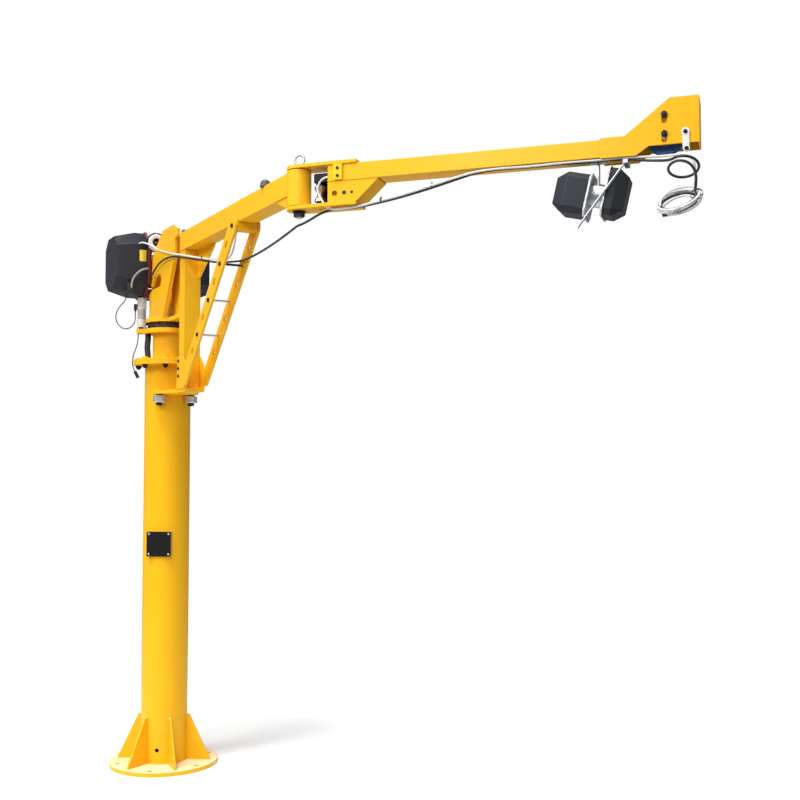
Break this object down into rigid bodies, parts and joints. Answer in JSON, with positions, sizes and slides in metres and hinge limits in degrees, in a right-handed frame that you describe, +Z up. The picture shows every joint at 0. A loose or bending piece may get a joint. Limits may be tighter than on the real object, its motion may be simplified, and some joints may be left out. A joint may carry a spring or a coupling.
{
  "type": "folding jib crane",
  "caption": "Column-mounted folding jib crane: a slewing inner arm with hoist, strut and guide rollers, and an outer arm that folds at an elbow and carries the rope sheave at its tip.",
  "frame": {"origin": "centre of the base plate's underside, on the column's axis", "axes": "+Z up along the column, +X along the inner arm at rest, -Y the side nearer to the viewer"},
  "size_m": [3.0636, 1.248, 2.636],
  "materials": {
    "yellow_paint": "gloss",
    "black_paint": "satin",
    "bright_steel": "satin",
    "dark_steel": "satin",
    "bronze_bush": "satin",
    "charcoal_cover": "matte",
    "maroon_paint": "satin",
    "silver_frame": "satin",
    "white_plastic": "satin",
    "blue_sheave": "satin",
    "grey_hose": "matte",
    "black_cable": "matte",
    "white_cable": "matte"
  },
  "bodies": {
    "column": {"base_plate": "yellow_paint", "base_gussets": "yellow_paint", "column_tube": "yellow_paint", "cover_frame": "yellow_paint", "access_cover": "black_paint", "cover_screws": "bright_steel", "column_flange": "yellow_paint", "neck_flange": "yellow_paint", "flange_bolts": "bright_steel", "neck_tube": "yellow_paint", "bearing_seat": "yellow_paint", "bearing_fixed_ring": "black_paint", "supply_hose": "black_cable", "sensor_cable": "black_cable", "sensor_plug": "black_cable"},
    "inner_arm": {"bearing_turning_ring": "black_paint", "slewing_plate": "yellow_paint", "slewing_head": "yellow_paint", "post_tube": "yellow_paint", "inner_arm_box": "yellow_paint", "arm_gussets": "yellow_paint", "strut_near": "yellow_paint", "strut_far": "yellow_paint", "strut_bolts": "dark_steel", "roller_bracket": "yellow_paint", "roller_pins": "dark_steel", "elbow_barrel": "yellow_paint", "elbow_bushes": "bronze_bush", "hoist_frame": "maroon_paint", "rope_guide": "white_plastic", "hoist_cover_near": "charcoal_cover", "hoist_cover_far": "charcoal_cover", "hoist_motor": "dark_steel", "hoist_glands": "white_plastic", "hoist_conduit": "grey_hose", "hoist_loop": "black_cable", "control_cable_inner": "white_cable", "power_cable_inner": "black_cable"},
    "roller_near": {"roller_near": "bright_steel"},
    "roller_far": {"roller_far": "bright_steel"},
    "hoist_drum": {"hoist_drum": "dark_steel"},
    "outer_arm": {"elbow_pin": "bright_steel", "elbow_nut": "dark_steel", "lifting_eye": "bright_steel", "fork_plates": "yellow_paint", "fork_sides": "yellow_paint", "stop_block": "yellow_paint", "arm_bolts": "dark_steel", "guide_bracket": "black_paint", "outer_arm_box": "yellow_paint", "tip_head": "yellow_paint", "tip_bolts": "dark_steel", "tip_hanger": "bright_steel", "unit_covers": "charcoal_cover", "unit_frame": "silver_frame", "tip_coil": "white_cable", "power_cable_outer": "black_cable", "control_cable_outer": "white_cable"},
    "guide_pulley": {"guide_pulley": "dark_steel"},
    "tip_sheave": {"tip_sheave": "blue_sheave"}
  },
  "joints": [
    {"name": "slew", "type": "hinge", "parent": "column", "child": "inner_arm", "pos_m": [0, 0, 2.1], "axis": [0, 0, 1], "range_deg": [-160, 160]},
    {"name": "elbow", "type": "hinge", "parent": "inner_arm", "child": "outer_arm", "pos_m": [1.545, 0, 2.448], "axis": [0, 0, 1], "range_deg": [-166.9, 83.1]},
    {"name": "roller_near_spin", "type": "hinge", "parent": "inner_arm", "child": "roller_near", "pos_m": [0.11602, -0.078, 1.74], "axis": [0, 0, 1], "range_deg": [-600, 600]},
    {"name": "roller_far_spin", "type": "hinge", "parent": "inner_arm", "child": "roller_far", "pos_m": [0.11602, 0.078, 1.74], "axis": [0, 0, 1], "range_deg": [-600, 600]},
    {"name": "drum_spin", "type": "hinge", "parent": "inner_arm", "child": "hoist_drum", "pos_m": [-0.26, 0, 2.434], "axis": [0, 1, 0], "continuous": true},
    {"name": "guide_pulley_spin", "type": "hinge", "parent": "outer_arm", "child": "guide_pulley", "pos_m": [1.60752, 0.0561, 2.424], "axis": [0, 0, 1], "continuous": true},
    {"name": "tip_sheave_spin", "type": "hinge", "parent": "outer_arm", "child": "tip_sheave", "pos_m": [2.526, 0.8802, 2.518], "axis": [-0.6678, 0.7443, 0], "continuous": true}
  ],
  "couplings": [
    {"joint": "roller_near_spin", "follows": "slew", "ratio": 3.65},
    {"joint": "roller_far_spin", "follows": "slew", "ratio": 3.65},
    {"joint": "tip_sheave_spin", "follows": "drum_spin", "ratio": 1.4},
    {"joint": "guide_pulley_spin", "follows": "drum_spin", "ratio": 5.376}
  ]
}
